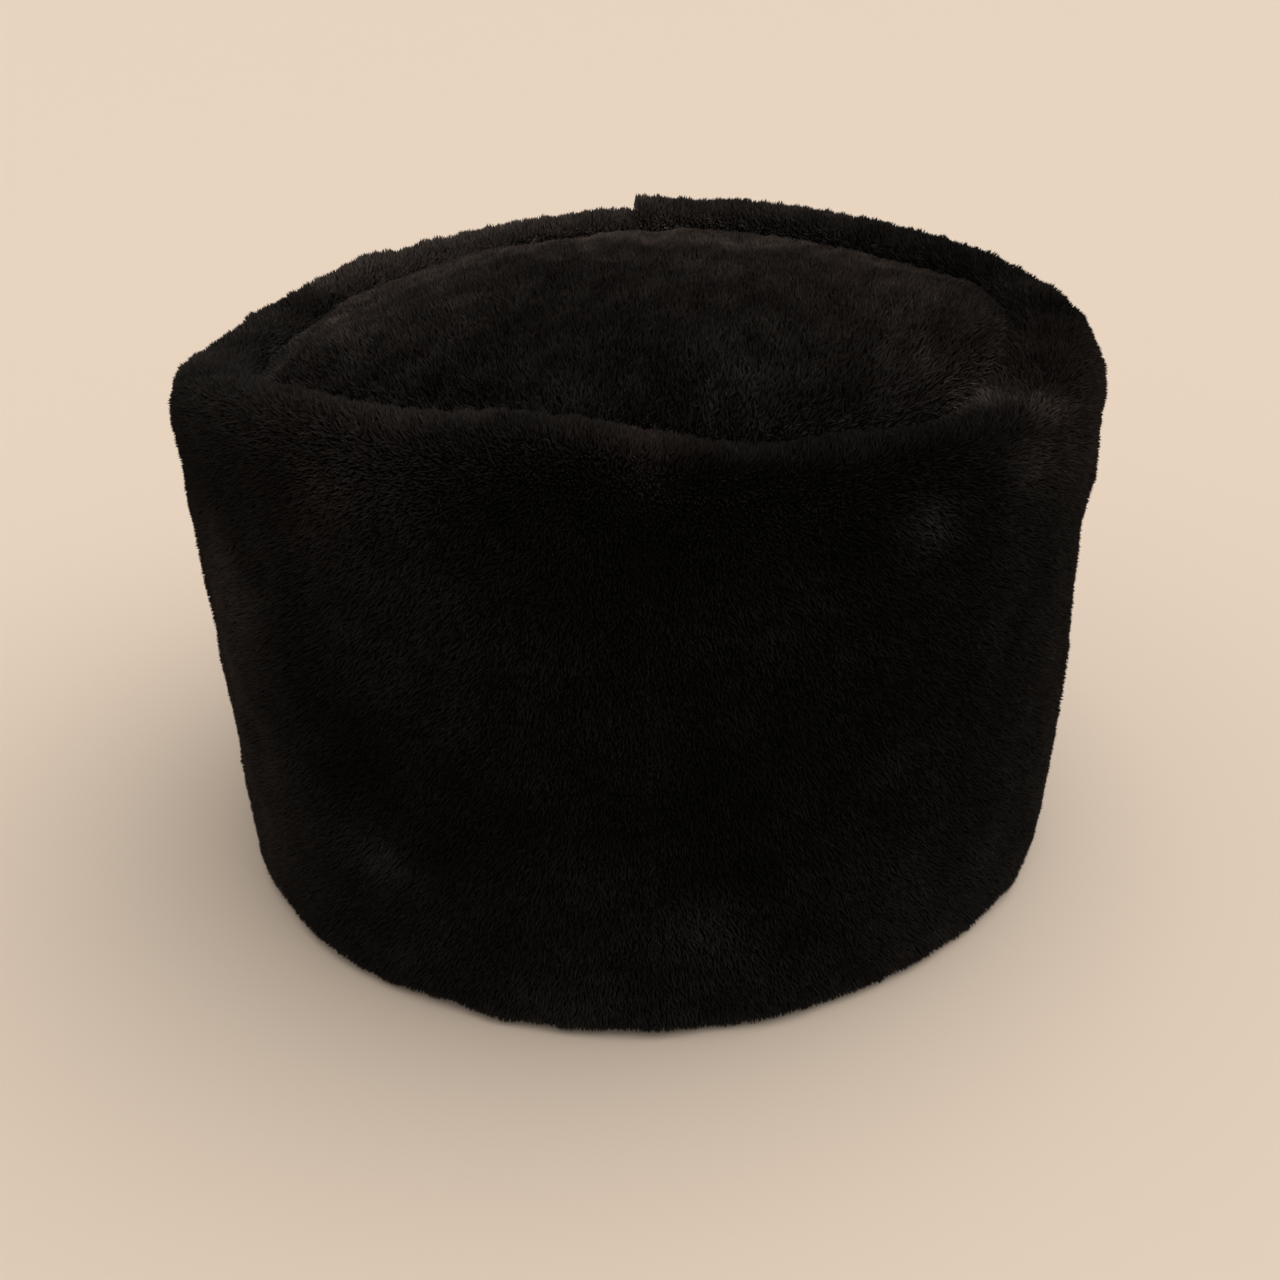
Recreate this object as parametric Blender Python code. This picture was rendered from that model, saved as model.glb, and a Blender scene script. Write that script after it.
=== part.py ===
"""Kalpak: a tall drum hat of black dyed, sheared sheepskin, wool side out.

Metres, +Z up. The hem lies on Z = 0 and the drum stands round the Z axis. -Y is the front and +X is the
right, seen from the front. Angles run from +X towards +Y, so 90 is the back and 270 the front. Each solid is the
hide and its dense pile together, out to the tips of the pile.
"""

import math
from collections import namedtuple

import bmesh
import bpy

MM = 0.001

# Where the two side panels meet, in degrees, and the gap that touching pieces keep
FRONT_SEAM = 270
BACK_SEAM = 89.5
GAP = 0.3 * MM

# The skin, hide and pile together, and its turned edge at the hem
WALL = 10 * MM
HEM_ROUND = 4 * MM
HEM_INNER_ROUND = 2 * MM

# The thick rolled rim, from its crest in to the groove round the crown, and the seam under the groove
RIM_INNER_WIDTH = 12.5 * MM
CROWN_SEAM_HEIGHT = 8 * MM
UNDER_RIM_ROUND = 3 * MM

# At the back seam the right panel's rim stands higher than the left panel's
SEAM_STEP = 3.2 * MM
SEAM_STEP_FADE = 12

# The crown: a soft, cushion-like dome
CROWN_TOP = 133 * MM
CROWN_UNDERSIDE_TOP = 122.5 * MM
CROWN_FULLNESS = 2.6
CROWN_RINGS = (0.18, 0.36, 0.54, 0.7, 0.82, 0.91, 0.965, 0.992)
UNDERSIDE_RINGS = (0.85, 0.6, 0.3)

# Dyed wool, as red, green and blue
BAND_COLOUR = (0.013, 0.012, 0.011)
CROWN_COLOUR = (0.015, 0.013, 0.012)
PILE_ROUGHNESS = 0.6

# Edges that turn by more than this stay sharp, in degrees
SHARP_FROM = 50

# How finely each panel is divided: steps round the drum, up the wall and over each side of the rim
STEPS_ROUND = 36
STEPS_UP = 9
STEPS_OUTER_RIM = 7
STEPS_INNER_RIM = 6
STEPS_HEM = 3

# The hand-cut shape, every 20 degrees. Radius at the hem, radius at the rim's bulge, height of the crest, how
# far the crest lies inside the bulge, how far the bulge lies below the crest, and how far the groove does, in
# millimetres.
Station = namedtuple("Station", "angle hem bulge crest inset shoulder groove")
STATIONS = (
    Station(0, 100.5, 104.0, 124.5, 9.0, 17.5, 4.0),
    Station(20, 100.5, 103.5, 126.0, 9.5, 18.0, 6.5),
    Station(40, 100.5, 103.5, 128.0, 11.0, 18.5, 11.0),
    Station(60, 100.0, 103.5, 129.5, 11.0, 18.5, 11.5),
    Station(80, 100.0, 103.5, 130.5, 11.0, 19.0, 11.0),
    Station(100, 99.5, 103.0, 129.0, 11.0, 19.0, 10.5),
    Station(120, 99.5, 103.5, 125.5, 11.0, 19.0, 10.5),
    Station(140, 99.5, 103.5, 124.0, 10.5, 18.5, 10.5),
    Station(160, 100.0, 104.0, 119.5, 8.5, 16.5, 9.0),
    Station(180, 100.5, 104.0, 118.5, 6.5, 14.0, 9.0),
    Station(200, 101.0, 103.5, 123.0, 6.0, 13.0, 10.0),
    Station(220, 101.0, 103.0, 129.0, 9.0, 16.0, 11.0),
    Station(240, 100.0, 103.0, 129.0, 12.0, 18.0, 9.0),
    Station(260, 100.0, 103.0, 131.0, 12.0, 19.0, 9.0),
    Station(280, 99.5, 103.0, 125.0, 11.0, 19.0, 9.5),
    Station(300, 99.0, 103.0, 123.0, 11.0, 19.0, 9.5),
    Station(320, 99.5, 102.5, 118.5, 11.0, 17.5, 6.5),
    Station(340, 100.0, 103.5, 122.5, 10.0, 16.5, 4.5),
)

# Soft dents in the outside of the drum. Where the middle is, how far it reaches, and how deep, in degrees and
# millimetres.
Dent = namedtuple("Dent", "angle height half_width half_height depth")
DENTS = (
    Dent(345, 87, 20, 7, 1.6),  # pinch under the rim at the right end
    Dent(270, 108, 4, 12, 1.4),  # front seam, where the rim starts
    Dent(347, 70, 20, 14, 1.0),  # slight hollow below the pinch
    Dent(301, 103, 7, 7, 1.2),  # dimple under the rim, right of the front seam
    Dent(241, 84, 9, 14, 1.0),  # hollow in the left front wall
    Dent(250, 24, 12, 14, 0.8),  # hollow above the hem
)


def shape_at(angle):
    """The station values at any angle, in metres, on a smooth closed curve through the table."""
    place = (angle % 360) / (360 / len(STATIONS))
    first = int(place)
    t = place - first
    a, b, c, d = (STATIONS[(first + k) % len(STATIONS)] for k in (-1, 0, 1, 2))
    values = [
        MM * (p1 + 0.5 * t * (p2 - p0 + t * (2 * p0 - 5 * p1 + 4 * p2 - p3 + t * (3 * (p1 - p2) + p3 - p0))))
        for p0, p1, p2, p3 in zip(a[1:], b[1:], c[1:], d[1:])
    ]
    return Station(angle, *values)


def dent_depth(angle, height):
    """How far the dents push the outside in at this place."""
    depth = 0.0
    for dent in DENTS:
        across = ((angle - dent.angle + 180) % 360 - 180) / dent.half_width
        along = (height / MM - dent.height) / dent.half_height
        depth += dent.depth * MM * math.exp(-across * across - along * along)
    return depth


def groove_at(angle):
    """Radius and height of the bottom of the groove round the crown."""
    shape = shape_at(angle)
    return shape.bulge - shape.inset - RIM_INNER_WIDTH, shape.crest - shape.groove


def quarter(steps):
    """Angles from 0 to a quarter turn, without the first."""
    return [0.5 * math.pi * (k + 1) / steps for k in range(steps)]


def panel_section(angle, rise):
    """A side panel cut at one angle, as (radius, height) points from the hem up the outside and down the inside."""
    shape = shape_at(angle)
    crest = shape.crest + rise
    bulge_height = crest - shape.shoulder
    crest_radius = shape.bulge - shape.inset
    seam_radius, groove = groove_at(angle)
    seam_bottom = groove - CROWN_SEAM_HEIGHT
    rim_drop = crest - groove

    points = [(shape.hem - WALL + HEM_INNER_ROUND, 0.0), (shape.hem - HEM_ROUND, 0.0)]
    for turn in quarter(STEPS_HEM):
        points.append((shape.hem - HEM_ROUND * (1 - math.sin(turn)), HEM_ROUND * (1 - math.cos(turn))))
    for k in range(1, STEPS_UP + 1):
        height = HEM_ROUND + (bulge_height - HEM_ROUND) * k / STEPS_UP
        radius = shape.hem + (shape.bulge - shape.hem) * k / STEPS_UP
        points.append((radius, height))
    for turn in quarter(STEPS_OUTER_RIM):
        points.append((
            shape.bulge - shape.inset * (1 - math.cos(turn)),
            bulge_height + shape.shoulder * math.sin(turn),
        ))
    points = [(radius - dent_depth(angle, height), height) for radius, height in points]
    for turn in quarter(STEPS_INNER_RIM):
        points.append((crest_radius - RIM_INNER_WIDTH * math.sin(turn), crest - rim_drop * (1 - math.cos(turn))))
    points.append((seam_radius, seam_bottom))
    inner_top = shape.bulge - WALL
    corner = UNDER_RIM_ROUND * (1 - math.cos(0.25 * math.pi))
    points.append((inner_top - UNDER_RIM_ROUND, seam_bottom))
    points.append((inner_top - corner, seam_bottom - corner))
    points.append((inner_top, seam_bottom - UNDER_RIM_ROUND))
    points.append((0.5 * (inner_top + shape.hem - WALL), 0.5 * seam_bottom))
    points.append((shape.hem - WALL, HEM_INNER_ROUND))
    return points


def at_angle(angle, radius, height):
    turn = math.radians(angle)
    return radius * math.cos(turn), radius * math.sin(turn), height


def panel_angles(start, end):
    """Angles of a panel's sections. Each end stops half a gap short of its seam."""
    margin = math.degrees(0.5 * GAP / groove_at(start)[0])
    span = end - start - 2 * margin
    return [start + margin + span * k / STEPS_ROUND for k in range(STEPS_ROUND + 1)]


def rise_near_back_seam(angle, side):
    """The lift of a panel's rim: up on the right panel (side 1), down on the left (side -1)."""
    away = ((angle - BACK_SEAM + 180) % 360 - 180) / SEAM_STEP_FADE
    return side * 0.5 * SEAM_STEP * math.exp(-away * away)


def pile_material(name, colour):
    material = bpy.data.materials.new(name)
    material.use_nodes = True
    shader = material.node_tree.nodes["Principled BSDF"]
    shader.inputs["Base Color"].default_value = (*colour, 1.0)
    shader.inputs["Roughness"].default_value = PILE_ROUGHNESS
    shader.inputs["Metallic"].default_value = 0.0
    return material


def finished_object(name, bm, material):
    """Turns a bmesh into a smooth object of its own."""
    bmesh.ops.recalc_face_normals(bm, faces=bm.faces)
    mesh = bpy.data.meshes.new(name)
    bm.to_mesh(mesh)
    bm.free()
    mesh.materials.append(material)
    mesh.shade_smooth()
    mesh.set_sharp_from_angle(angle=math.radians(SHARP_FROM))
    obj = bpy.data.objects.new(name, mesh)
    bpy.context.scene.collection.objects.link(obj)
    return obj


def side_panel(name, start, end, side):
    """Half of the side band with its rolled rim: one section, extruded step by step round the drum."""
    sections = [
        [at_angle(angle, *point) for point in panel_section(angle, rise_near_back_seam(angle, side))]
        for angle in panel_angles(start, end)
    ]
    bm = bmesh.new()
    faces = [bm.faces.new([bm.verts.new(point) for point in sections[0]])]
    for section in sections[1:]:
        made = bmesh.ops.extrude_face_region(bm, geom=[faces[-1]])["geom"]
        faces.append(next(part for part in made if isinstance(part, bmesh.types.BMFace)))
        for vert, point in zip(faces[-1].verts, section):
            vert.co = point
    bmesh.ops.delete(bm, geom=faces[1:-1], context="FACES_ONLY")
    return finished_object(name, bm, pile_material(name + "_pile", BAND_COLOUR))


def crown_ring(angles, share, height_at):
    """A closed ring of points at this share of the crown's radius."""
    return [at_angle(angle, share * (groove_at(angle)[0] - GAP), height_at(angle, share)) for angle in angles]


def dome_height(angle, share):
    edge = groove_at(angle)[1]
    return edge + (CROWN_TOP - edge) * math.sqrt(1 - share**CROWN_FULLNESS)


def underside_height(angle, share):
    edge = groove_at(angle)[1] - CROWN_SEAM_HEIGHT
    return edge + (CROWN_UNDERSIDE_TOP - edge) * (1 - share * share)


def crown():
    """The domed top panel: rings from the middle of the dome out to its edge, and back in along the underside."""
    angles = panel_angles(BACK_SEAM, FRONT_SEAM)[:-1] + panel_angles(FRONT_SEAM, BACK_SEAM + 360)[:-1]
    rings = [crown_ring(angles, share, dome_height) for share in (*CROWN_RINGS, 1.0)]
    rings += [crown_ring(angles, share, underside_height) for share in (1.0, *UNDERSIDE_RINGS)]

    bm = bmesh.new()
    top = bm.verts.new((0.0, 0.0, CROWN_TOP))
    bottom = bm.verts.new((0.0, 0.0, CROWN_UNDERSIDE_TOP))
    rings = [[bm.verts.new(point) for point in ring] for ring in rings]
    for k in range(len(angles)):
        after = (k + 1) % len(angles)
        bm.faces.new((top, rings[0][k], rings[0][after]))
        bm.faces.new((bottom, rings[-1][after], rings[-1][k]))
        for inner, outer in zip(rings, rings[1:]):
            bm.faces.new((inner[k], outer[k], outer[after], inner[after]))
    return finished_object("crown", bm, pile_material("crown_pile", CROWN_COLOUR))


for old in list(bpy.data.objects):
    bpy.data.objects.remove(old, do_unlink=True)

side_panel("left_panel", BACK_SEAM, FRONT_SEAM, -1)
side_panel("right_panel", FRONT_SEAM, BACK_SEAM + 360, 1)
crown()
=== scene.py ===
"""Kalpak: a tall drum hat of black dyed, sheared sheepskin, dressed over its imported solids.

Metres, +Z up, the hem on Z = 0. -Y is the front and +X is the right, seen from the front. Angles
run from +X towards +Y, so 90 is the back and 270 the front.
"""

import math
from collections import namedtuple

import bmesh
import bpy
import numpy as np
from mathutils import Matrix, Vector, noise
from mathutils.bvhtree import BVHTree


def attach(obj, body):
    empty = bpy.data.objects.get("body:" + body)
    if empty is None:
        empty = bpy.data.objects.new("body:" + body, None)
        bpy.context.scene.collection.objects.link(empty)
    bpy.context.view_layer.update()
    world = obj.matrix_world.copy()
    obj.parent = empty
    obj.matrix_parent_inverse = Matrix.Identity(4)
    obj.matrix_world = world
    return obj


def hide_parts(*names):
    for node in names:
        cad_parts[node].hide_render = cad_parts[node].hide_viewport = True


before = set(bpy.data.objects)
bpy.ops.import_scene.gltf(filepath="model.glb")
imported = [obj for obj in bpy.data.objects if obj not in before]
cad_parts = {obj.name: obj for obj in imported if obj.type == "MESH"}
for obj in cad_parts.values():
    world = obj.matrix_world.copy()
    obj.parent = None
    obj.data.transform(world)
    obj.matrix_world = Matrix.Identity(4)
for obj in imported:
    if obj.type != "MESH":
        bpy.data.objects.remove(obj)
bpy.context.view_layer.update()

# The skins. Two halves of the side band and a round crown, cut from one tanned and dyed sheepskin
# and sewn edge to edge with the wool outside. Each skin here is the hide with the felted undercoat
# that the pile stands in: its outside lies under the sheared tips, its inside is the suede back.
MM = 0.001
PILE_DEPTH = 1.4 * MM
SWELL, SWELL_SIZE = 1.1 * MM, 14 * MM
NOISE_OFFSET = Vector((11.3, 4.7, 8.1))
SKIN_SLOT, SUEDE_SLOT = 0, 1

# the solids' triangles become quads where they are this flat and even; edges this sharp stay sharp
MERGED_WITHIN = 0.01 * MM
FLAT_WITHIN, EVEN_WITHIN = math.radians(25), math.radians(50)
CREASED_FROM, SHARP_FROM = math.radians(60), math.radians(50)

# a face is a cut end when it looks this far along the seam, and woolly when it looks this far up or out
CUT_END_FROM = 0.8
CROWN_UP_FROM, BAND_UP_FROM, BAND_OUT_FROM = 0.05, 0.06, 0.2

# rounds in which the undercoat's depth fades out towards its edges
FADING_ROUNDS = 2


def around(points):
    """Unit vectors outwards from the drum's axis and round it, at each point."""
    outwards = points * (1.0, 1.0, 0.0)
    outwards /= np.maximum(np.linalg.norm(outwards, axis=1, keepdims=True), 1e-9)
    return outwards, np.stack([-outwards[:, 1], outwards[:, 0], np.zeros(len(points))], axis=1)


def dot(a, b):
    """The dot product of each row with its partner."""
    return (a * b).sum(axis=1)


def waver(point, size, seed):
    """Smooth noise from about -1 to 1, in steps of about the given size."""
    return noise.noise(Vector(point) / size + NOISE_OFFSET * seed)


def angle_of(point):
    """Where a point stands round the drum, in degrees from +X."""
    return math.degrees(math.atan2(point[1], point[0])) % 360


def band_share(point, angle, height, half_angle, half_height):
    """How much of a spot on the band reaches this point: 1 in its middle, fading over its half sizes."""
    turn = (angle_of(point) - angle + 180) % 360 - 180
    return math.exp(-((turn / half_angle) ** 2) - ((point[2] / MM - height) / half_height) ** 2)


# where the band swells out further or sinks in, in degrees and mm
Swelling = namedtuple("Swelling", "angle height half_angle half_height rise")
SWELLINGS = (
    Swelling(203, 125, 9, 8, 2.0),
    Swelling(103, 131, 6, 8, -1.1),
    Swelling(84, 131, 4, 8, -0.8),
)


def swell(point):
    """How far the soft skin swells or sinks here, as no sewn fur hat is quite even."""
    local = sum(spot.rise * band_share(point, *spot[:4]) for spot in SWELLINGS)
    return SWELL * waver(point, SWELL_SIZE, 10) + local * MM


# crown and rim press together along their groove, and fill it most at the back left
PUFF, PUFF_REACH = 2.2 * MM, 9 * MM
SNUG = Swelling(118, 120, 32, 40, 2.0)
ACROSS_GROOVE = {
    "crown": ("left_panel", "right_panel"),
    "left_panel": ("crown",),
    "right_panel": ("crown",),
}


def puff_beside(node):
    """Returns a function for how far a skin rises at a place: most where the groove is narrowest."""
    facing = []
    for other in ACROSS_GROOVE[node]:
        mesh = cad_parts[other].data
        corners = [vertex.co for vertex in mesh.vertices]
        facing.append(BVHTree.FromPolygons(corners, [face.vertices for face in mesh.polygons]))

    def puff(point):
        gap = min(tree.find_nearest(point)[3] for tree in facing)
        most = PUFF + SNUG.rise * MM * band_share(point, *SNUG[:4])
        return most * max(0.0, 1 - gap / PUFF_REACH)

    return puff


def smooth_copy(node, levels):
    """The solid's surface as one smooth mesh, its triangles merged into quads, its cut edges sharp."""
    bm = bmesh.new()
    bm.from_mesh(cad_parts[node].data)
    bmesh.ops.remove_doubles(bm, verts=bm.verts, dist=MERGED_WITHIN)
    bmesh.ops.join_triangles(
        bm, faces=bm.faces, angle_face_threshold=FLAT_WITHIN, angle_shape_threshold=EVEN_WITHIN
    )
    crease = bm.edges.layers.float.new("crease_edge")
    for edge in bm.edges:
        if edge.calc_face_angle(0.0) > CREASED_FROM:
            edge[crease] = 1.0
    rough = bpy.data.meshes.new(node + "_rough")
    bm.to_mesh(rough)
    bm.free()
    obj = bpy.data.objects.new(node + "_rough", rough)
    bpy.context.scene.collection.objects.link(obj)
    subdivision = obj.modifiers.new("Subdivision", "SUBSURF")
    subdivision.levels = subdivision.render_levels = levels
    mesh = bpy.data.meshes.new_from_object(obj.evaluated_get(bpy.context.evaluated_depsgraph_get()))
    bpy.data.objects.remove(obj)
    bpy.data.meshes.remove(rough)
    return mesh


def face_arrays(mesh):
    """Each face's middle and normal."""
    middles = np.zeros(3 * len(mesh.polygons))
    normals = np.zeros(3 * len(mesh.polygons))
    mesh.polygons.foreach_get("center", middles)
    mesh.polygons.foreach_get("normal", normals)
    return middles.reshape(-1, 3), normals.reshape(-1, 3)


def is_cut_end(mesh):
    """The faces where a side skin is cut along its seam."""
    middles, normals = face_arrays(mesh)
    return np.abs(dot(normals, around(middles)[1])) > CUT_END_FROM


def is_woolly(mesh, crown):
    """The faces that the pile grows on: the outside, the rim and the top, but no inside or cut end."""
    middles, normals = face_arrays(mesh)
    outwards = dot(normals, around(middles)[0])
    if crown:
        return normals[:, 2] > CROWN_UP_FROM
    return ((normals[:, 2] > BAND_UP_FROM) | (outwards > BAND_OUT_FROM)) & ~is_cut_end(mesh)


def skin(name, node, crown, materials):
    """The hide and undercoat: the solid's inside, and its outside lowered to where the pile starts."""
    mesh = smooth_copy(node, 1)
    woolly = is_woolly(mesh, crown)
    ends = np.zeros(len(woolly), bool) if crown else is_cut_end(mesh)
    bm = bmesh.new()
    bm.from_mesh(mesh)
    bm.faces.ensure_lookup_table()
    bm.verts.ensure_lookup_table()
    for face in bm.faces:
        face.material_index = SKIN_SLOT if woolly[face.index] else SUEDE_SLOT
    lowered = np.zeros((len(bm.verts), 3))
    depth = np.zeros(len(bm.verts))
    for vert in bm.verts:
        grown = [face for face in vert.link_faces if woolly[face.index]]
        kept = [face for face in vert.link_faces if not ends[face.index]]
        if grown:
            direction = sum((face.normal * face.calc_area() for face in grown), Vector())
            lowered[vert.index] = direction.normalized()
            depth[vert.index] = len(grown) / len(kept)
    beside = [[edge.other_vert(vert).index for edge in vert.link_edges] for vert in bm.verts]
    for _ in range(FADING_ROUNDS):
        depth = np.array(
            [0.5 * own + 0.5 * np.mean(depth[near]) if own else 0.0 for own, near in zip(depth, beside)]
        )
    puff = puff_beside(node)
    for vert in bm.verts:
        if depth[vert.index]:
            fall = PILE_DEPTH - swell(vert.co) - puff(vert.co)
            vert.co -= Vector(lowered[vert.index]) * fall * depth[vert.index]
    bmesh.ops.delete(bm, geom=[bm.faces[k] for k in np.flatnonzero(ends)], context="FACES")
    rims = [edge for edge in bm.edges if edge.is_boundary]
    for face in bmesh.ops.holes_fill(bm, edges=rims, sides=0)["faces"] if rims else []:
        face.material_index = SUEDE_SLOT
    bmesh.ops.recalc_face_normals(bm, faces=bm.faces)
    made = bpy.data.meshes.new(name)
    bm.to_mesh(made)
    bm.free()
    bpy.data.meshes.remove(mesh)
    made.materials.clear()
    for material in materials:
        made.materials.append(material)
    made.shade_smooth()
    made.set_sharp_from_angle(angle=SHARP_FROM)
    obj = bpy.data.objects.new(name, made)
    bpy.context.scene.collection.objects.link(obj)
    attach(obj, "root")
    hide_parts(node)


def shader(name):
    """A new material, its node tree and its Principled shader."""
    material = bpy.data.materials.new(name)
    material.use_nodes = True
    return material, material.node_tree, material.node_tree.nodes["Principled BSDF"]


def ramp(tree, source, *stops):
    """A colour ramp over the source, from (position, colour) stops."""
    node = tree.nodes.new("ShaderNodeValToRGB")
    tree.links.new(source, node.inputs["Fac"])
    elements = node.color_ramp.elements
    elements.remove(elements[1])
    for position, colour in stops[1:]:
        elements.new(position).color = (*colour, 1.0)
    elements[0].position = stops[0][0]
    elements[0].color = (*stops[0][1], 1.0)
    return node.outputs["Color"]


def object_noise(tree, scale, detail, roughness=0.5):
    """Noise over the piece's own coordinates."""
    place = tree.nodes.get("Texture Coordinate") or tree.nodes.new("ShaderNodeTexCoord")
    node = tree.nodes.new("ShaderNodeTexNoise")
    node.inputs["Scale"].default_value = scale
    node.inputs["Detail"].default_value = detail
    node.inputs["Roughness"].default_value = roughness
    tree.links.new(place.outputs["Object"], node.inputs["Vector"])
    return node.outputs["Fac"]


def bump(tree, height, strength, distance, target):
    """Roughens the target shader's surface by the given height."""
    node = tree.nodes.new("ShaderNodeBump")
    node.inputs["Strength"].default_value = strength
    node.inputs["Distance"].default_value = distance
    tree.links.new(height, node.inputs["Height"])
    tree.links.new(node.outputs["Normal"], target.inputs["Normal"])


undercoat, tree, principled = shader("felted_undercoat")
principled.inputs["Roughness"].default_value = 1.0
principled.inputs["Specular IOR Level"].default_value = 0.0
fibres = object_noise(tree, 900, 3)
# the felt is coloured darker than the wool's tips: partly its own dyed colour, partly painted shade deep
# between the strands
felt = ramp(tree, fibres, (0.35, (0.003, 0.003, 0.0028)), (0.7, (0.006, 0.0052, 0.0046)))
tree.links.new(felt, principled.inputs["Base Color"])
bump(tree, fibres, 0.6, 0.6 * MM, principled)

suede, tree, principled = shader("suede_back")
principled.inputs["Roughness"].default_value = 0.85
principled.inputs["Specular IOR Level"].default_value = 0.2
principled.inputs["Sheen Weight"].default_value = 0.3
principled.inputs["Sheen Roughness"].default_value = 0.5
principled.inputs["Sheen Tint"].default_value = (0.5, 0.45, 0.42, 1.0)
blotches = object_noise(tree, 45, 5, 0.6)
hide = ramp(
    tree,
    blotches,
    (0.3, (0.019, 0.016, 0.015)),
    (0.55, (0.03, 0.026, 0.024)),
    (0.75, (0.045, 0.039, 0.035)),
)
tree.links.new(hide, principled.inputs["Base Color"])
bump(tree, object_noise(tree, 700, 4, 0.6), 0.5, 0.4 * MM, principled)

for name, node in (("left_skin", "left_panel"), ("right_skin", "right_panel"), ("crown_skin", "crown")):
    skin(name, node, node == "crown", (undercoat, suede))

# The pile. The wool is dyed with the skin, combed up and sheared level, so the tips make an even
# plush that parts into small tufts. Each strand here is one fine lock of wool, rooted in the
# undercoat and tapering to its tip, with its own shade and a root painted darker, as shade deep in the
# pile.
STRAND_WIDTH, STRAND_LENGTH = 0.95 * MM, 1.8 * MM
STRAND_SPACING = 0.52 * MM
RIM_SPACING, BACK_SPACING, CROWN_SPACING = 0.48 * MM, 0.6 * MM, 0.53 * MM

# a tuft's size, and how far from its middle, in sizes, it stands neither proud nor sunk
TUFT, TUFT_EDGE = 3.6 * MM, 0.3

# points tried in each square of the spacing, before those that stand too close are left out
TRIES = 4.0

# how far a strand's tone strays from its place's, and the darkest and lightest that it may be
TONE_STRAY, TONE_FROM, TONE_TO = 0.07, 0.02, 0.98

# the pile stands this far out over the cut ends, and so closes the seams
OVERHANG = 0.6 * MM

# the strands stay this high over the floor, and each one's width covers this much of its map
OVER_FLOOR = 0.2 * MM
MAP_WIDTH = 0.005


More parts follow.
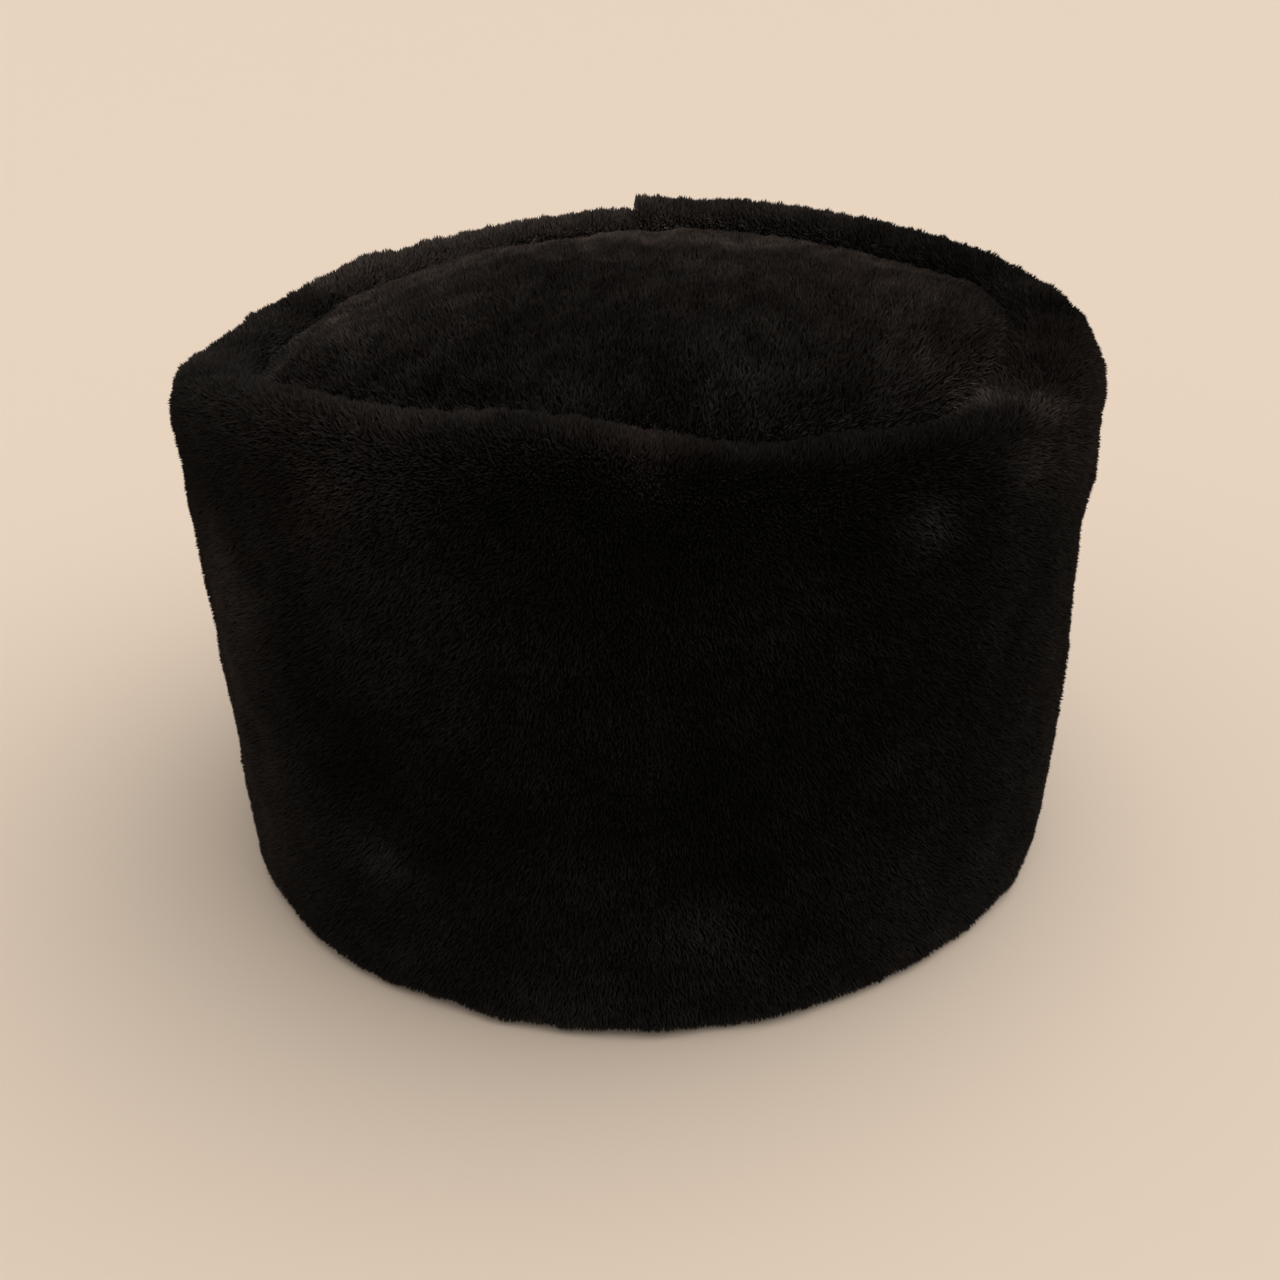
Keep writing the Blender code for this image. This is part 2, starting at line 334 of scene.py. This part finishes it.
def pile_tree():
    """Grows tapered strands on a bed of faces. Each point is a strand's tip, on the sheared surface."""
    tree = bpy.data.node_groups.new("pile", "GeometryNodeTree")
    tree.is_modifier = True
    socket = tree.interface.new_socket
    socket("Bed", in_out="INPUT", socket_type="NodeSocketGeometry")
    for name, value in (
        ("Spacing", STRAND_SPACING),
        ("Width", STRAND_WIDTH),
        ("Length", STRAND_LENGTH),
        ("Uneven Length", 0.16),
        ("Uneven Tips", 0.25 * MM),
        ("Uneven Lay", 0.28),
        ("Tuft Size", TUFT),
        ("Tuft Pull", 0.3),
        ("Tuft Gather", 0.08),
        ("Tuft Relief", 1.9 * MM),
        ("Tuft Rise", 0.8 * MM),
    ):
        socket(name, in_out="INPUT", socket_type="NodeSocketFloat").default_value = value
    socket("Seed", in_out="INPUT", socket_type="NodeSocketInt")
    socket("Material", in_out="INPUT", socket_type="NodeSocketMaterial")
    socket("Pile", in_out="OUTPUT", socket_type="NodeSocketGeometry")

    def add(kind, **settings):
        node = tree.nodes.new(kind)
        for key, value in settings.items():
            setattr(node, key, value)
        return node

    def feed(target, source):
        if isinstance(source, bpy.types.NodeSocket):
            tree.links.new(source, target)
        else:
            target.default_value = source

    def maths(operation, a, b=0.0, c=0.0):
        node = add("ShaderNodeMath", operation=operation)
        for target, source in zip(node.inputs, (a, b, c)):
            feed(target, source)
        return node.outputs[0]

    def vectors(operation, a, b=(0.0, 0.0, 0.0), scale=None):
        node = add("ShaderNodeVectorMath", operation=operation)
        feed(node.inputs[0], a)
        feed(node.inputs[1], b)
        if scale is not None:
            feed(node.inputs["Scale"], scale)
        return node.outputs["Vector"]

    def named(name, kind):
        node = add("GeometryNodeInputNamedAttribute", data_type=kind)
        node.inputs["Name"].default_value = name
        return node.outputs["Attribute"]

    def stored(geometry, name, kind, value, domain="POINT"):
        node = add("GeometryNodeStoreNamedAttribute", data_type=kind, domain=domain)
        feed(node.inputs["Geometry"], geometry)
        node.inputs["Name"].default_value = name
        feed(node.inputs["Value"], value)
        return node.outputs["Geometry"]

    def chance(low, high, seed, kind="FLOAT"):
        node = add("FunctionNodeRandomValue", data_type=kind)
        sockets = [s for s in node.inputs if s.enabled]
        feed(sockets[0], low)
        feed(sockets[1], high)
        feed(next(s for s in sockets if s.name == "Seed"), maths("ADD", given["Seed"], float(seed)))
        return next(s for s in node.outputs if s.enabled)

    given = add("NodeGroupInput").outputs
    place = add("GeometryNodeInputPosition").outputs["Position"]

    # one strand: a closed three-sided spike with its tip at the origin, its foot one unit below
    cone = add("GeometryNodeMeshCone", fill_type="NGON")
    cone.inputs["Vertices"].default_value = 3
    cone.inputs["Radius Top"].default_value = 0.0
    cone.inputs["Radius Bottom"].default_value = 0.5
    cone.inputs["Depth"].default_value = 1.0
    lowered = add("GeometryNodeTransform")
    feed(lowered.inputs["Geometry"], cone.outputs["Mesh"])
    lowered.inputs["Translation"].default_value = (0.0, 0.0, -1.0)
    split = add("ShaderNodeSeparateXYZ")
    feed(split.inputs["Vector"], place)
    strand = stored(lowered.outputs["Geometry"], "along", "FLOAT", maths("ADD", split.outputs["Z"], 1.0))
    strand = stored(strand, "across", "FLOAT", split.outputs["X"])
    flat = add("GeometryNodeSetShadeSmooth", domain="FACE")
    feed(flat.inputs["Geometry"], strand)
    feed(flat.inputs["Selection"], cone.outputs["Bottom"])
    flat.inputs["Shade Smooth"].default_value = False
    strand = flat.outputs["Geometry"]

    # the tips, spread evenly over the bed
    spread = add("GeometryNodeDistributePointsOnFaces", distribute_method="POISSON")
    feed(spread.inputs["Mesh"], given["Bed"])
    feed(spread.inputs["Distance Min"], given["Spacing"])
    square = maths("MULTIPLY", given["Spacing"], given["Spacing"])
    feed(spread.inputs["Density Max"], maths("DIVIDE", TRIES, square))
    feed(spread.inputs["Seed"], given["Seed"])
    outward = vectors("NORMALIZE", named("outward", "FLOAT_VECTOR"))

    # neighbouring strands lean together into tufts, which stand a little proud in their middle
    cells = add("ShaderNodeTexVoronoi", feature="F1")
    feed(cells.inputs["Vector"], place)
    feed(cells.inputs["Scale"], maths("DIVIDE", 1.0, given["Tuft Size"]))
    to_middle = vectors("SUBTRACT", cells.outputs["Position"], place)
    sideways = vectors("SUBTRACT", to_middle, vectors("PROJECT", to_middle, outward))
    pull = vectors("SCALE", sideways, scale=maths("DIVIDE", given["Tuft Pull"], given["Tuft Size"]))
    any_way = chance((-1, -1, -1), (1, 1, 1), 1, "FLOAT_VECTOR")
    astray = vectors("SCALE", any_way, scale=given["Uneven Lay"])
    lean = vectors("ADD", vectors("ADD", named("lay", "FLOAT_VECTOR"), pull), astray)
    direction = vectors("NORMALIZE", vectors("ADD", outward, lean))
    tufted = named("tufted", "FLOAT")
    from_edge = maths("SUBTRACT", TUFT_EDGE, cells.outputs["Distance"])
    relief = maths("MULTIPLY", from_edge, given["Tuft Relief"])
    relief = maths("ADD", relief, given["Tuft Rise"])
    uneven = chance(maths("MULTIPLY", given["Uneven Tips"], -1.0), given["Uneven Tips"], 2)
    raised = vectors("SCALE", outward, scale=maths("MULTIPLY_ADD", relief, tufted, uneven))
    gathered = vectors("SCALE", sideways, scale=maths("MULTIPLY", given["Tuft Gather"], tufted))
    moved = add("GeometryNodeSetPosition")
    feed(moved.inputs["Geometry"], spread.outputs["Points"])
    feed(moved.inputs["Offset"], vectors("ADD", raised, gathered))

    # grey strands take the lower half of the shades, brown ones the upper half
    tone = maths("ADD", named("tone", "FLOAT"), chance(-TONE_STRAY, TONE_STRAY, 3))
    tone = maths("MINIMUM", maths("MAXIMUM", tone, TONE_FROM), TONE_TO)
    is_brown = maths("LESS_THAN", chance(0.0, 1.0, 6), named("brown", "FLOAT"))
    shade = maths("MULTIPLY", maths("ADD", tone, is_brown), 0.5)
    tips = stored(moved.outputs["Geometry"], "shade", "FLOAT", shade)

    turned = add("FunctionNodeAlignRotationToVector", axis="Z")
    feed(turned.inputs["Vector"], direction)
    spun = add("FunctionNodeRotateRotation", rotation_space="LOCAL")
    feed(spun.inputs["Rotation"], turned.outputs["Rotation"])
    about = add("FunctionNodeAxisAngleToRotation")
    about.inputs["Axis"].default_value = (0.0, 0.0, 1.0)
    feed(about.inputs["Angle"], chance(0.0, math.tau, 4))
    feed(spun.inputs["Rotate By"], about.outputs["Rotation"])
    stray = maths("MULTIPLY", given["Uneven Length"], chance(-1.0, 1.0, 5))
    length = maths("MULTIPLY", given["Length"], maths("ADD", 1.0, stray))
    size = add("ShaderNodeCombineXYZ")
    feed(size.inputs["X"], given["Width"])
    feed(size.inputs["Y"], given["Width"])
    feed(size.inputs["Z"], length)
    grown = add("GeometryNodeInstanceOnPoints")
    feed(grown.inputs["Points"], tips)
    feed(grown.inputs["Instance"], strand)
    feed(grown.inputs["Rotation"], spun.outputs["Rotation"])
    feed(grown.inputs["Scale"], size.outputs["Vector"])
    real = add("GeometryNodeRealizeInstances")
    feed(real.inputs["Geometry"], grown.outputs["Instances"])

    # nothing reaches below the hem
    above = add("GeometryNodeSetPosition")
    feed(above.inputs["Geometry"], real.outputs["Geometry"])
    feed(above.inputs["Position"], vectors("MAXIMUM", place, (-1.0, -1.0, OVER_FLOOR)))

    # the strand's shade runs across the map and its length up it
    map_place = add("ShaderNodeCombineXYZ")
    across = maths("MULTIPLY_ADD", named("across", "FLOAT"), MAP_WIDTH, named("shade", "FLOAT"))
    feed(map_place.inputs["X"], across)
    feed(map_place.inputs["Y"], named("along", "FLOAT"))
    mapped = stored(
        above.outputs["Geometry"], "OFBake", "FLOAT2", map_place.outputs["Vector"], domain="CORNER"
    )
    dressed = add("GeometryNodeSetMaterial")
    feed(dressed.inputs["Geometry"], mapped)
    feed(dressed.inputs["Material"], given["Material"])
    feed(add("NodeGroupOutput").inputs["Pile"], dressed.outputs["Geometry"])
    return tree


# the pile is combed down the band and away from its front seam, less so on the rim, and forwards on
# the crown, and it wanders a little in large and small waves
CROWN_FALL, BAND_FALL = Vector((0.03, -0.12, 0.0)), Vector((0.0, 0.0, -0.16))
FRONT_SEAM, SEAM_FALL, SEAM_SPREAD = 270, 0.08, 40
RIM_STANDS = 0.75
WANDER, WANDER_SIZE = 0.14, 22 * MM
SMALL_WANDER, SMALL_WANDER_SIZE = 0.6, 9 * MM


def combed(point, outward, crown):
    """Which way the pile leans at this place, as a sideways vector."""
    wander = Vector()
    for k in range(3):
        small = SMALL_WANDER * waver(point, SMALL_WANDER_SIZE, k + 3)
        wander[k] = waver(point, WANDER_SIZE, k) + small
    if crown:
        fall = CROWN_FALL
    else:
        around_drum = Vector((-point[1], point[0], 0.0)).normalized()
        from_seam = math.tanh((angle_of(point) - FRONT_SEAM) / SEAM_SPREAD)
        fall = BAND_FALL + around_drum * SEAM_FALL * from_seam
        fall *= 1 - RIM_STANDS * max(0.0, outward.z)
    lean = fall + WANDER * wander
    return lean - outward * lean.dot(outward)


# where the wool is made lighter, darker or browner than around it, in degrees and mm, fading out over the
# half sizes: on the band by angle and height, on the crown as seen from above. Most of these are painted
# light and shade: painted highlights on the crest, the edges, a tuft and the parting at the front seam,
# painted light on the back of the rim and of the crown, and painted shade in the groove, in creases and
# under the crest
BandPatch = namedtuple("BandPatch", "angle height half_angle half_height tone brown")
BAND_PATCHES = (
    # painted highlight along the front crest
    BandPatch(252, 131, 50, 5, 0.32, 0.5),
    BandPatch(238, 119, 13, 9, 0.23, 0.3),
    BandPatch(220, 125, 14, 6, 0.16, 0.3),
    BandPatch(297, 125, 11, 3, 0.22, 0.3),
    BandPatch(228, 114, 3, 10, -0.16, 0.0),
    BandPatch(260, 119, 8, 9, -0.22, 0.0),
    # painted highlight where the pile parts at the front seam
    BandPatch(270.5, 127, 7, 3.5, 0.22, 1.0),
    BandPatch(270.7, 122, 2.2, 4, 0.3, 1.0),
    BandPatch(283, 126, 9, 3, 0.12, 0.6),
    BandPatch(273, 113, 14, 10, -0.18, 0.1),
    BandPatch(303, 119, 7, 5, -0.14, 0.0),
    # painted light on the rim at the back left
    BandPatch(140, 122, 44, 14, 0.85, 0.6),
    BandPatch(106, 127, 24, 13, 0.9, 0.3),
    BandPatch(155, 120, 6, 9, -0.3, 0.0),
    # painted light on the crest at the back right
    BandPatch(62, 128, 34, 8, 0.55, 0.5),
    BandPatch(7, 126, 5, 5, 0.3, 0.2),
    BandPatch(24, 119, 8, 5, -0.3, 0.0),
    BandPatch(0, 121, 7, 8, -0.2, 0.0),
    BandPatch(189, 120, 10, 8, 0.25, 0.2),
    # painted light along the right edge of the band
    BandPatch(345, 120, 28, 15, 0.2, 0.6),
    # painted highlight on a tuft of the rim at the right front
    BandPatch(327, 118, 4.5, 3.5, 0.6, -0.2),
    BandPatch(320, 111, 5, 4, 0.34, 0.4),
    BandPatch(334, 106, 14, 10, 0.08, 0.9),
    BandPatch(301, 107, 3.5, 7, 0.55, -0.2),
    BandPatch(292, 112, 16, 12, -0.06, -0.1),
    BandPatch(232, 110, 12, 13, 0.12, 0.9),
    # painted light along the left edge of the band
    BandPatch(200, 60, 16, 50, 0.28, 0.6),
    BandPatch(215, 84, 9, 18, 0.42, 0.5),
    BandPatch(212, 30, 14, 30, 0.23, 0.5),
    BandPatch(243, 99, 14, 20, 0.28, -0.2),
    BandPatch(236, 37, 5, 8, 0.34, -0.1),
    BandPatch(240, 25, 12, 14, 0.06, 0.0),
    BandPatch(276, 26, 6.5, 9, 0.38, 0.1),
    BandPatch(260, 22, 4, 6, 0.18, 0.0),
    BandPatch(274, 75, 26, 35, -0.06, 0.0),
    BandPatch(262, 44, 8, 10, 0.14, 0.0),
    BandPatch(270, 4, 110, 10, 0.2, 0.3),
    BandPatch(270, 24, 110, 20, 0.06, 0.0),
    BandPatch(302, 22, 9, 16, 0.18, 0.1),
    # painted light along the right edge of the band
    BandPatch(344, 60, 20, 60, 0.2, 0.9),
    BandPatch(286, 65, 18, 30, -0.06, 0.0),
)
CrownPatch = namedtuple("CrownPatch", "x y half_x half_y tone brown")
CROWN_PATCHES = (
    # painted light on the back and the sides of the crown, where the light falls
    CrownPatch(0, 64, 70, 42, 0.46, 0.3),
    CrownPatch(-62, 5, 24, 45, 0.3, 0.2),
    CrownPatch(56, 0, 26, 45, 0.28, 0.3),
    CrownPatch(22, 0, 16, 24, 0.12, 0.1),
    CrownPatch(24, -60, 16, 14, 0.16, 0.0),
    CrownPatch(64, -44, 12, 12, 0.12, 0.2),
    CrownPatch(0, -22, 40, 24, -0.07, 0.0),
    CrownPatch(0, -62, 50, 20, 0.0, -0.6),
    # painted shade in the groove behind the front crest and in a crease there
    CrownPatch(-38, -57, 9, 7, -0.2, -0.1),
    CrownPatch(7, -60, 3.5, 10, -0.22, 0.0),
    CrownPatch(43, -57, 8, 6, -0.12, 0.0),
)
# the band's and the crown's tone and brown share, and a level that scales every tone; the crown's tone is
# set much lighter, which is painted light for the top that the light falls on
BAND_TONE, BAND_BROWN = 0.29, 0.05
CROWN_TONE, CROWN_BROWN = 0.56, 0.55
TONE_LEVEL = 0.87

# the mottling of the wool, and on the crown also streaks, three times as long as they are wide
Mottle = namedtuple("Mottle", "amount size seed")
TONE_MOTTLES = (Mottle(0.13, 26 * MM, 7), Mottle(0.14, 9 * MM, 8))
BROWN_MOTTLE = Mottle(0.3, 18 * MM, 9)
STREAK_MOTTLE = Mottle(0.24, 4.5 * MM, 11)
STREAK_WAY, STREAK_LENGTH = (0.25, 0.97), 3


def shade_at(point, crown):
    """How light the wool is here, painted light and shade included, and how much is brown, each from 0 to
    1.
    """
    tone = CROWN_TONE if crown else BAND_TONE
    for mottle in TONE_MOTTLES:
        tone += mottle.amount * waver(point, mottle.size, mottle.seed)
    brown = CROWN_BROWN if crown else BAND_BROWN
    brown += BROWN_MOTTLE.amount * waver(point, BROWN_MOTTLE.size, BROWN_MOTTLE.seed)
    for patch in CROWN_PATCHES if crown else BAND_PATCHES:
        if crown:
            across = (point.x / MM - patch.x) / patch.half_x
            along = (point.y / MM - patch.y) / patch.half_y
            share = math.exp(-(across**2 + along**2))
        else:
            share = band_share(point, *patch[:4])
        tone += patch.tone * share
        brown += patch.brown * share
    if crown:
        along_streak = point.x * STREAK_WAY[0] + point.y * STREAK_WAY[1]
        across_streak = point.y * STREAK_WAY[0] - point.x * STREAK_WAY[1]
        place = (along_streak / STREAK_LENGTH, across_streak, 0.0)
        tone += STREAK_MOTTLE.amount * waver(place, STREAK_MOTTLE.size, STREAK_MOTTLE.seed)
    return tone * TONE_LEVEL, brown


# how much the pile parts into tufts, and from which height and over how many mm the rim adds to it
CROWN_TUFTED, WALL_TUFTED, RIM_TUFTED = 0.6, 0.35, 0.65
TUFTED_FROM, TUFTED_OVER = 104, 18


def tufted_at(point, outward, crown):
    """How much the pile parts into tufts here: least on the walls, most on the rim."""
    if crown:
        return CROWN_TUFTED
    up_rim = min(1.0, max(0.0, (point.z / MM - TUFTED_FROM) / TUFTED_OVER))
    return WALL_TUFTED + RIM_TUFTED * up_rim * outward.z**2


def pile_bed(node, crown, part):
    """The woolly faces in one part of a solid, smoothed, with how the wool stands and looks there."""
    mesh = smooth_copy(node, 2)
    woolly = is_woolly(mesh, crown) & part(face_arrays(mesh)[0])
    ends = np.zeros(len(woolly), bool) if crown else is_cut_end(mesh)
    bm = bmesh.new()
    bm.from_mesh(mesh)
    bm.faces.ensure_lookup_table()
    outward = bm.verts.layers.float_vector.new("outward")
    lay = bm.verts.layers.float_vector.new("lay")
    tone = bm.verts.layers.float.new("tone")
    brown = bm.verts.layers.float.new("brown")
    tufted = bm.verts.layers.float.new("tufted")
    puff = puff_beside(node)
    rises = []
    for vert in bm.verts:
        grown = [face for face in vert.link_faces if woolly[face.index]]
        if grown:
            normal = sum((face.normal * face.calc_area() for face in grown), Vector()).normalized()
            vert[outward] = normal
            vert[lay] = combed(vert.co, normal, crown)
            vert[tone], vert[brown] = shade_at(vert.co, crown)
            vert[tufted] = tufted_at(vert.co, normal, crown)
            cut = [face for face in vert.link_faces if ends[face.index]]
            beyond = sum((face.normal for face in cut), Vector()).normalized()
            rises.append((vert, normal * (swell(vert.co) + puff(vert.co)) + beyond * OVERHANG))
    for vert, rise in rises:
        vert.co += rise
    bmesh.ops.delete(bm, geom=[face for face in bm.faces if not woolly[face.index]], context="FACES")
    bed = bpy.data.meshes.new(node + "_bed")
    bm.to_mesh(bed)
    bm.free()
    bpy.data.meshes.remove(mesh)
    bed.materials.clear()
    return bed


def grow_pile(name, node, crown, part, seed, spacing, material):
    """Grows one piece of pile and leaves it as a plain mesh."""
    bed = bpy.data.objects.new(name + "_bed", pile_bed(node, crown, part))
    bpy.context.scene.collection.objects.link(bed)
    modifier = bed.modifiers.new("Pile", "NODES")
    modifier.node_group = PILE
    sockets = {item.name: item.identifier for item in PILE.interface.items_tree if item.in_out == "INPUT"}
    modifier[sockets["Seed"]] = seed
    modifier[sockets["Spacing"]] = spacing
    modifier[sockets["Width"]] = STRAND_WIDTH * spacing / STRAND_SPACING
    modifier[sockets["Material"]] = material
    bpy.context.view_layer.update()
    mesh = bpy.data.meshes.new_from_object(bed.evaluated_get(bpy.context.evaluated_depsgraph_get()))
    mesh.name = name
    for extra in ("outward", "lay", "tone", "brown", "tufted", "along", "across", "shade"):
        if extra in mesh.attributes:
            mesh.attributes.remove(mesh.attributes[extra])
    bpy.data.objects.remove(bed)
    obj = bpy.data.objects.new(name, mesh)
    bpy.context.scene.collection.objects.link(obj)
    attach(obj, "root")


# the darkest wool of the two families, and how many times lighter the lightest is
DARKEST_GREY = (0.0037, 0.0036, 0.0033)
DARKEST_BROWN = (0.0044, 0.0034, 0.0030)
LIGHTEST = 24


def wool_colour():
    """Dyed wool's colour from a map: the shade along it, root to tip up it, with painted shade at the
    root.
    """
    tree = bpy.data.node_groups.new("wool_colour", "ShaderNodeTree")
    tree.interface.new_socket("Map", in_out="INPUT", socket_type="NodeSocketVector")
    tree.interface.new_socket("Color", in_out="OUTPUT", socket_type="NodeSocketColor")
    split = tree.nodes.new("ShaderNodeSeparateXYZ")
    tree.links.new(tree.nodes.new("NodeGroupInput").outputs["Map"], split.inputs["Vector"])
    steps = (0.01, 0.25, 0.5, 0.75, 0.99)
    greys = [(0.5 * step, [part * LIGHTEST**step for part in DARKEST_GREY]) for step in steps]
    browns = [(0.5 + 0.5 * step, [part * LIGHTEST**step for part in DARKEST_BROWN]) for step in steps]
    shade = ramp(tree, split.outputs["X"], *greys, *browns)
    # painted shade: each strand darker towards its root, for the shade deep in the pile
    depth = ramp(tree, split.outputs["Y"], (0.2, (0.65, 0.65, 0.65)), (0.85, (1.0, 1.0, 1.0)))
    mixed = tree.nodes.new("ShaderNodeMix")
    mixed.data_type = "RGBA"
    mixed.blend_type = "MULTIPLY"
    mixed.inputs["Factor"].default_value = 1.0
    tree.links.new(shade, mixed.inputs["A"])
    tree.links.new(depth, mixed.inputs["B"])
    tree.links.new(mixed.outputs["Result"], tree.nodes.new("NodeGroupOutput").inputs["Color"])
    return tree


def wool(name, sheen):
    """A material for wool with this much sheen on its tips."""
    material, tree, principled = shader(name)
    uv = tree.nodes.new("ShaderNodeUVMap")
    uv.uv_map = "OFBake"
    colour = tree.nodes.new("ShaderNodeGroup")
    colour.node_tree = WOOL_COLOUR
    tree.links.new(uv.outputs["UV"], colour.inputs["Map"])
    tree.links.new(colour.outputs["Color"], principled.inputs["Base Color"])
    principled.inputs["Roughness"].default_value = 0.8
    principled.inputs["Specular IOR Level"].default_value = 0.05
    principled.inputs["Sheen Weight"].default_value = sheen
    principled.inputs["Sheen Roughness"].default_value = 0.4
    principled.inputs["Sheen Tint"].default_value = (0.62, 0.5, 0.45, 1.0)
    return material


PILE = pile_tree()
WOOL_COLOUR = wool_colour()
band_wool = wool("band_wool", 0.03)
crown_wool = wool("crown_wool", 0.06)

# the parts that the band's pile is split into, as one piece would have too many faces
RIM_FROM = 100 * MM


def rim(points):
    return points[:, 2] >= RIM_FROM


def front_wall(points):
    return (points[:, 2] < RIM_FROM) & (points[:, 1] < 0)


def back_wall(points):
    return (points[:, 2] < RIM_FROM) & (points[:, 1] >= 0)


def everywhere(points):
    return points[:, 2] > 0


seed = 1
for side in ("left", "right"):
    for part_name, part, spacing in (
        ("front", front_wall, STRAND_SPACING),
        ("back", back_wall, BACK_SPACING),
        ("rim", rim, RIM_SPACING),
    ):
        name, node = f"{side}_{part_name}_pile", side + "_panel"
        grow_pile(name, node, False, part, seed, spacing, band_wool)
        seed += 1
grow_pile("crown_pile", "crown", True, everywhere, seed, CROWN_SPACING, crown_wool)

# The studio. A plain pale floor under the hat, one broad soft light high on the hat's right, which is
# far away so that it lights the floor evenly, and even pale light from all round.
FLOOR_SIZE = 60.0
FLOOR_COLOUR = (0.80, 0.69, 0.58, 1.0)
SUN_HEIGHT, SUN_AZIMUTH, SUN_SPREAD = math.radians(67), math.radians(2), math.radians(80)
SUN_STRENGTH, SUN_COLOUR = 1.65, (1.0, 0.965, 0.93)
ROOM_STRENGTH, ROOM_COLOUR = 0.53, (1.0, 0.93, 0.86, 1.0)

floor_mesh = bpy.data.meshes.new("floor")
half = 0.5 * FLOOR_SIZE
corners = [(-half, -half, 0), (half, -half, 0), (half, half, 0), (-half, half, 0)]
floor_mesh.from_pydata(corners, [], [(0, 1, 2, 3)])
floor = bpy.data.objects.new("floor", floor_mesh)
bpy.context.scene.collection.objects.link(floor)
paper, tree, principled = shader("cream_paper")
principled.inputs["Base Color"].default_value = FLOOR_COLOUR
principled.inputs["Roughness"].default_value = 0.9
principled.inputs["Specular IOR Level"].default_value = 0.1
floor_mesh.materials.append(paper)

sun_data = bpy.data.lights.new("window", "SUN")
sun_data.angle = SUN_SPREAD
sun_data.energy = SUN_STRENGTH
sun_data.color = SUN_COLOUR
sun = bpy.data.objects.new("window", sun_data)
flat = math.cos(SUN_HEIGHT)
source = Vector((flat * math.cos(SUN_AZIMUTH), flat * math.sin(SUN_AZIMUTH), math.sin(SUN_HEIGHT)))
sun.rotation_euler = (-source).to_track_quat("-Z", "Y").to_euler()
bpy.context.scene.collection.objects.link(sun)

world = bpy.data.worlds.new("studio")
world.use_nodes = True
world.node_tree.nodes["Background"].inputs["Color"].default_value = ROOM_COLOUR
world.node_tree.nodes["Background"].inputs["Strength"].default_value = ROOM_STRENGTH
bpy.context.scene.world = world
bpy.context.scene.view_settings.view_transform = "Standard"

# The camera. It stands and tilts as the one that the hat was seen with, a little above the rim, and
# its focal length is given in widths of the picture.
CAMERA_PLACE = Vector((0.0, -0.3342, 0.2168))
PITCH, YAW, ROLL = math.radians(27.78), math.radians(-0.26), math.radians(-1.68)
FOCAL = 1502 / 1280
SENSOR = 36.0

ahead = Vector((math.sin(YAW) * math.cos(PITCH), math.cos(YAW) * math.cos(PITCH), -math.sin(PITCH)))
level = Vector((math.cos(YAW), -math.sin(YAW), 0.0))
upright = level.cross(ahead)
right = math.cos(ROLL) * level + math.sin(ROLL) * upright
up = -math.sin(ROLL) * level + math.cos(ROLL) * upright
camera_data = bpy.data.cameras.new("camera")
camera_data.sensor_width = SENSOR
camera_data.lens = SENSOR * FOCAL
camera_data.clip_start = 0.01
camera = bpy.data.objects.new("camera", camera_data)
turn = Matrix((right, up, -ahead)).transposed().to_4x4()
camera.matrix_world = Matrix.Translation(CAMERA_PLACE) @ turn
bpy.context.scene.collection.objects.link(camera)
bpy.context.scene.camera = camera
